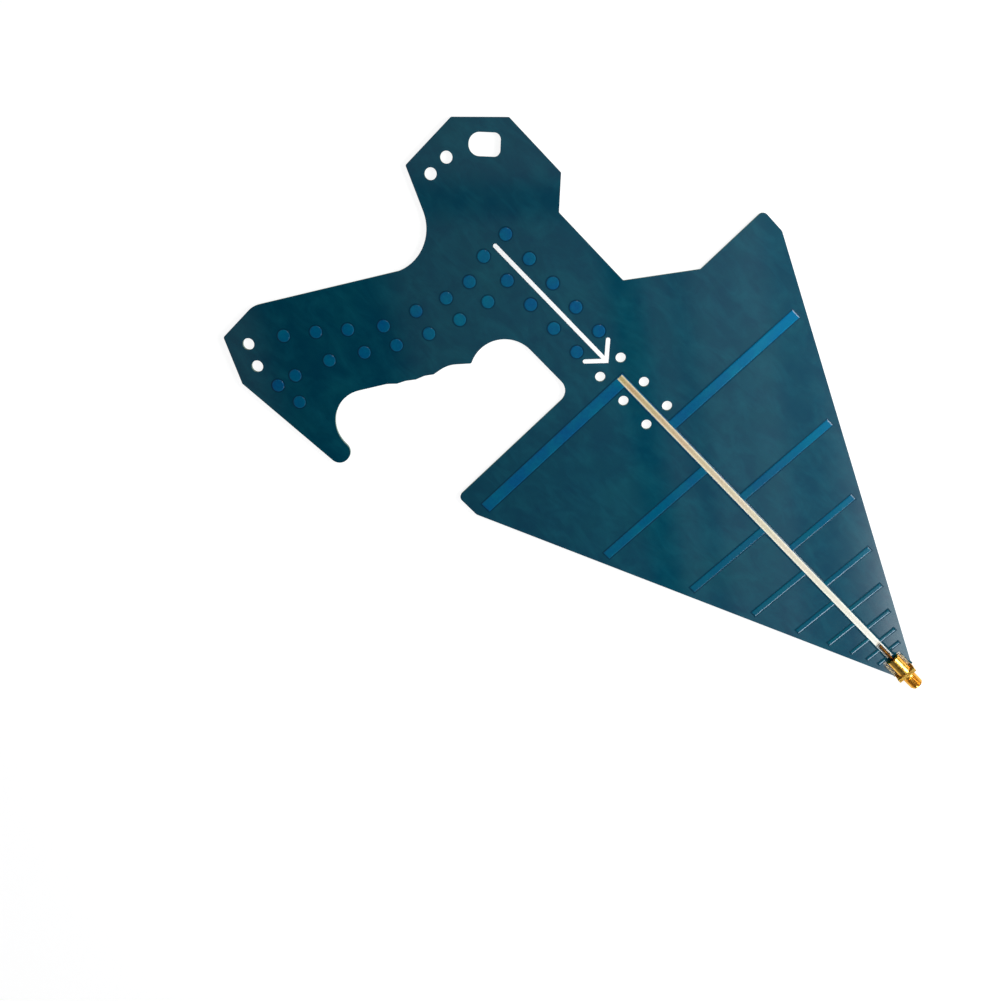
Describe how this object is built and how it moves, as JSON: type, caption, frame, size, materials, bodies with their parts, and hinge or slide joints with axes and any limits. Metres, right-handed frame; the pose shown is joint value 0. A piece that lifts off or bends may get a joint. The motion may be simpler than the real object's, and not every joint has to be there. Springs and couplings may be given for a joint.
{
  "type": "log-periodic antenna",
  "caption": "Handheld log-periodic antenna etched on a flat board with a pistol grip, dipole elements alternating along a boom, a printed arrow and a coaxial jack at the tip.",
  "frame": {"origin": "middle of the outer box, at the height of its lowest face, the underside of the jack's flange and lower legs", "axes": "+X along the boom toward the jack, +Y toward the wing on the head's side (away from the grip), +Z out of the face that carries the arrow; the board is level"},
  "size_m": [0.3444, 0.217, 0.007],
  "materials": {
    "solder_mask": "glossy dark teal solder mask over glass-epoxy laminate",
    "masked_copper": "glossy blue solder mask over etched copper",
    "plated_copper": "bare copper with a pale gold plating",
    "white_ink": "matt screen-printed white ink",
    "gold_plate": "bright gold-plated brass",
    "insulator": "white waxy plastic",
    "solder": "bright solder"
  },
  "bodies": {
    "root": {"laminate_board": "solder_mask", "front_radiator": "masked_copper", "rear_radiator": "masked_copper", "front_boom_plating": "plated_copper", "rear_boom_plating": "plated_copper", "front_ground_pad_right": "plated_copper", "front_ground_pad_left": "plated_copper", "arrow_print": "white_ink", "jack_body": "gold_plate", "jack_contact": "gold_plate", "jack_insulator": "insulator", "pin_solder": "solder", "front_leg_solder_right": "solder", "front_leg_solder_left": "solder", "rear_leg_solder_right": "solder", "rear_leg_solder_left": "solder", "grip_dot_01": "masked_copper", "grip_dot_02": "masked_copper", "grip_dot_03": "masked_copper", "grip_dot_04": "masked_copper", "grip_dot_05": "masked_copper", "grip_dot_06": "masked_copper", "grip_dot_07": "masked_copper", "grip_dot_08": "masked_copper", "grip_dot_09": "masked_copper", "grip_dot_10": "masked_copper", "grip_dot_11": "masked_copper", "grip_dot_12": "masked_copper", "grip_dot_13": "masked_copper", "grip_dot_14": "masked_copper", "grip_dot_15": "masked_copper", "grip_dot_16": "masked_copper", "grip_dot_17": "masked_copper", "grip_dot_18": "masked_copper", "grip_dot_19": "masked_copper", "grip_dot_20": "masked_copper", "grip_dot_21": "masked_copper", "grip_dot_22": "masked_copper", "grip_dot_23": "masked_copper", "grip_dot_24": "masked_copper", "grip_dot_25": "masked_copper", "grip_dot_26": "masked_copper"}
  },
  "joints": []
}
